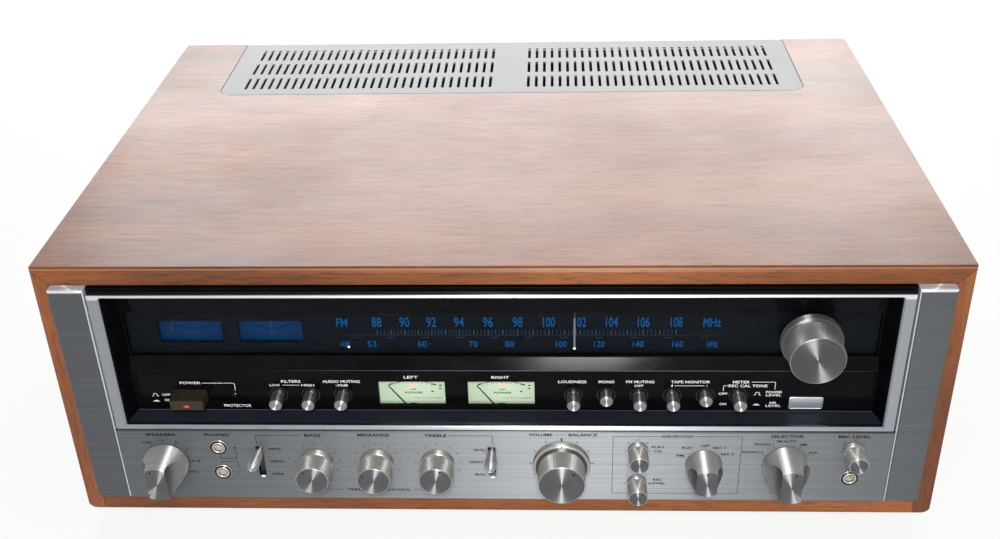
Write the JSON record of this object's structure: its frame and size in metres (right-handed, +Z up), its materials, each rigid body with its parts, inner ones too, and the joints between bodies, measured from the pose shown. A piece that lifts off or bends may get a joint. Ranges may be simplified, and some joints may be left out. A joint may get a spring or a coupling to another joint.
{
  "type": "stereo receiver",
  "caption": "Stereo receiver: walnut cabinet with a slotted vent grille, brushed silver front, black tuning dial, meters, turned knobs, levers, push buttons and plug sockets.",
  "frame": {"origin": "on the floor, under the middle of the whole receiver", "axes": "+X to the receiver's right as seen from the front, -Y to the front, +Z up"},
  "size_m": [0.548, 0.3876, 0.198],
  "materials": {
    "walnut": "satin lacquered walnut veneer",
    "satin_aluminium": "brushed and clear anodised",
    "turned_aluminium": "turned and polished",
    "knob_aluminium": "turned, knurled and spun",
    "grille_steel": "satin silver lacquer",
    "black_moulding": "semi-gloss black",
    "black_steel": "black paint",
    "zinc_steel": "zinc plated",
    "rubber": "matt black",
    "dial_clear": "clear, smoky",
    "dial_print": "glossy black, printed",
    "pointer_paint": "white",
    "amber_plastic": "smoky amber",
    "blue_meter": "blue, lit from behind",
    "green_meter": "pale green",
    "needle_black": "painted black",
    "socket_nickel": "nickel plated",
    "transformer_paint": "black paint",
    "sink_aluminium": "black anodised",
    "board_resin": "brown laminate",
    "flywheel_brass": "turned",
    "aerial_plastic": "black",
    "terminal_plastic": "black"
  },
  "bodies": {
    "cabinet": {"wood_top": "walnut", "wood_side_left": "walnut", "wood_side_right": "walnut", "wood_front_sill": "walnut", "vent_grille": "grille_steel", "chassis_plate": "zinc_steel", "rear_panel": "black_steel", "foot_front_left": "rubber", "foot_front_right": "rubber", "foot_rear_left": "rubber", "foot_rear_right": "rubber", "end_panel_left": "satin_aluminium", "end_panel_right": "satin_aluminium", "faceplate": "satin_aluminium", "dial_bezel": "satin_aluminium", "dial_housing": "black_moulding", "dial_glass": "dial_clear", "dial_scale": "dial_print", "phones_socket_upper": "socket_nickel", "phones_socket_lower": "socket_nickel", "mic_socket": "socket_nickel", "signal_meter": "blue_meter", "tuning_meter": "blue_meter", "power_meter_left": "green_meter", "power_meter_right": "green_meter", "power_transformer": "transformer_paint", "heat_sink": "sink_aluminium", "main_board": "board_resin", "terminal_block": "terminal_plastic"},
    "tuning_drive": {"tuning_knob": "turned_aluminium", "tuning_flywheel": "flywheel_brass"},
    "dial_pointer": {"dial_pointer": "pointer_paint"},
    "power_button": {"power_button": "amber_plastic"},
    "low_filter_button": {"low_filter_button": "turned_aluminium"},
    "high_filter_button": {"high_filter_button": "turned_aluminium"},
    "audio_muting_button": {"audio_muting_button": "turned_aluminium"},
    "loudness_button": {"loudness_button": "turned_aluminium"},
    "mono_button": {"mono_button": "turned_aluminium"},
    "fm_muting_button": {"fm_muting_button": "turned_aluminium"},
    "tape_monitor_1_button": {"tape_monitor_1_button": "turned_aluminium"},
    "tape_monitor_2_button": {"tape_monitor_2_button": "turned_aluminium"},
    "meter_tone_button": {"meter_tone_button": "turned_aluminium"},
    "speaker_selector": {"speaker_selector": "knob_aluminium"},
    "noise_filter_selector": {"noise_filter_selector": "knob_aluminium"},
    "input_selector": {"input_selector": "knob_aluminium"},
    "bass_knob": {"bass_knob": "knob_aluminium"},
    "midrange_knob": {"midrange_knob": "knob_aluminium"},
    "treble_knob": {"treble_knob": "knob_aluminium"},
    "bass_turnover_lever": {"bass_turnover_lever": "knob_aluminium"},
    "treble_turnover_lever": {"treble_turnover_lever": "knob_aluminium"},
    "volume_knob": {"volume_knob": "knob_aluminium"},
    "balance_ring": {"balance_ring": "knob_aluminium"},
    "play_level_knob": {"play_level_knob": "knob_aluminium"},
    "record_level_knob": {"record_level_knob": "knob_aluminium"},
    "mic_level_knob": {"mic_level_knob": "knob_aluminium"},
    "signal_needle": {"signal_needle": "needle_black"},
    "tuning_needle": {"tuning_needle": "needle_black"},
    "power_needle_left": {"power_needle_left": "needle_black"},
    "power_needle_right": {"power_needle_right": "needle_black"},
    "aerial_bar": {"aerial_bar": "aerial_plastic"}
  },
  "joints": [
    {"name": "tuning_turn", "type": "hinge", "parent": "cabinet", "child": "tuning_drive", "pos_m": [0.1871, -0.1528, 0.14201], "axis": [0, 1, 0], "range_deg": [-855, 439]},
    {"name": "pointer_slide", "type": "slide", "parent": "cabinet", "child": "dial_pointer", "axis": [1, 0, 0], "range_m": [-0.1198, 0.0615]},
    {"name": "power_press", "type": "slide", "parent": "cabinet", "child": "power_button", "axis": [0, 1, 0], "range_m": [0, 0.004], "stiffness_N_per_m": 200},
    {"name": "low_filter_press", "type": "slide", "parent": "cabinet", "child": "low_filter_button", "axis": [0, 1, 0], "range_m": [0, 0.0045], "stiffness_N_per_m": 150},
    {"name": "high_filter_press", "type": "slide", "parent": "cabinet", "child": "high_filter_button", "axis": [0, 1, 0], "range_m": [0, 0.0045], "stiffness_N_per_m": 150},
    {"name": "audio_muting_press", "type": "slide", "parent": "cabinet", "child": "audio_muting_button", "axis": [0, 1, 0], "range_m": [0, 0.0045], "stiffness_N_per_m": 150},
    {"name": "loudness_press", "type": "slide", "parent": "cabinet", "child": "loudness_button", "axis": [0, 1, 0], "range_m": [0, 0.0045], "stiffness_N_per_m": 150},
    {"name": "fm_muting_press", "type": "slide", "parent": "cabinet", "child": "fm_muting_button", "axis": [0, 1, 0], "range_m": [0, 0.0045], "stiffness_N_per_m": 150},
    {"name": "tape_monitor_1_press", "type": "slide", "parent": "cabinet", "child": "tape_monitor_1_button", "axis": [0, 1, 0], "range_m": [0, 0.0045], "stiffness_N_per_m": 150},
    {"name": "meter_tone_press", "type": "slide", "parent": "cabinet", "child": "meter_tone_button", "axis": [0, 1, 0], "range_m": [0, 0.0045], "stiffness_N_per_m": 150},
    {"name": "mono_release", "type": "slide", "parent": "cabinet", "child": "mono_button", "axis": [0, 1, 0], "range_m": [-0.0045, 0]},
    {"name": "tape_monitor_2_release", "type": "slide", "parent": "cabinet", "child": "tape_monitor_2_button", "axis": [0, 1, 0], "range_m": [-0.0045, 0]},
    {"name": "speaker_turn", "type": "hinge", "parent": "cabinet", "child": "speaker_selector", "pos_m": [-0.2125, -0.1713, 0.058], "axis": [0, 1, 0], "range_deg": [-30, 120]},
    {"name": "noise_filter_turn", "type": "hinge", "parent": "cabinet", "child": "noise_filter_selector", "pos_m": [0.12651, -0.1713, 0.058], "axis": [0, 1, 0], "range_deg": [-60, 60]},
    {"name": "input_turn", "type": "hinge", "parent": "cabinet", "child": "input_selector", "pos_m": [0.17699, -0.1713, 0.058], "axis": [0, 1, 0], "range_deg": [-60, 60]},
    {"name": "bass_turn", "type": "hinge", "parent": "cabinet", "child": "bass_knob", "pos_m": [-0.1165, -0.1713, 0.058], "axis": [0, 1, 0], "range_deg": [-112, 188]},
    {"name": "midrange_turn", "type": "hinge", "parent": "cabinet", "child": "midrange_knob", "pos_m": [-0.0782, -0.1713, 0.058], "axis": [0, 1, 0], "range_deg": [-87, 213]},
    {"name": "treble_turn", "type": "hinge", "parent": "cabinet", "child": "treble_knob", "pos_m": [-0.0398, -0.1713, 0.058], "axis": [0, 1, 0], "range_deg": [-172, 128]},
    {"name": "volume_turn", "type": "hinge", "parent": "cabinet", "child": "volume_knob", "pos_m": [0.03799, -0.1713, 0.058], "axis": [0, 1, 0], "range_deg": [-190, 110]},
    {"name": "balance_turn", "type": "hinge", "parent": "cabinet", "child": "balance_ring", "pos_m": [0.03799, -0.1713, 0.058], "axis": [0, 1, 0], "range_deg": [-150, 150]},
    {"name": "play_level_turn", "type": "hinge", "parent": "cabinet", "child": "play_level_knob", "pos_m": [0.08539, -0.1713, 0.06938], "axis": [0, 1, 0], "range_deg": [-195, 105]},
    {"name": "record_level_turn", "type": "hinge", "parent": "cabinet", "child": "record_level_knob", "pos_m": [0.08539, -0.1713, 0.04274], "axis": [0, 1, 0], "range_deg": [-150, 150]},
    {"name": "mic_level_turn", "type": "hinge", "parent": "cabinet", "child": "mic_level_knob", "pos_m": [0.21756, -0.1713, 0.0696], "axis": [0, 1, 0], "range_deg": [0, 300]},
    {"name": "bass_turnover_tilt", "type": "hinge", "parent": "cabinet", "child": "bass_turnover_lever", "pos_m": [-0.15196, -0.1283, 0.05867], "axis": [1, 0, 0], "range_deg": [0, 21]},
    {"name": "treble_turnover_tilt", "type": "hinge", "parent": "cabinet", "child": "treble_turnover_lever", "pos_m": [-0.0054, -0.1283, 0.05867], "axis": [1, 0, 0], "range_deg": [0, 21]},
    {"name": "power_left_swing", "type": "hinge", "parent": "cabinet", "child": "power_needle_left", "pos_m": [-0.05489, -0.1516, 0.08189], "axis": [0, 1, 0], "range_deg": [0, 72], "stiffness_Nm_per_rad": 0.0005},
    {"name": "power_right_swing", "type": "hinge", "parent": "cabinet", "child": "power_needle_right", "pos_m": [0.00079, -0.1516, 0.08189], "axis": [0, 1, 0], "range_deg": [0, 72], "stiffness_Nm_per_rad": 0.0005},
    {"name": "signal_swing", "type": "hinge", "parent": "cabinet", "child": "signal_needle", "pos_m": [-0.19041, -0.1445, 0.17421], "axis": [0, 1, 0], "range_deg": [-44, 0], "stiffness_Nm_per_rad": 0.0005},
    {"name": "tuning_swing", "type": "hinge", "parent": "cabinet", "child": "tuning_needle", "pos_m": [-0.14059, -0.1445, 0.17421], "axis": [0, 1, 0], "range_deg": [-20, 20], "stiffness_Nm_per_rad": 0.0005},
    {"name": "aerial_swing", "type": "hinge", "parent": "cabinet", "child": "aerial_bar", "pos_m": [0.18936, 0.1886, 0.15782], "axis": [0, 0, 1], "range_deg": [-90, 0]}
  ],
  "couplings": [
    {"joint": "pointer_slide", "follows": "tuning_turn", "m_per_rad": 0.008}
  ]
}
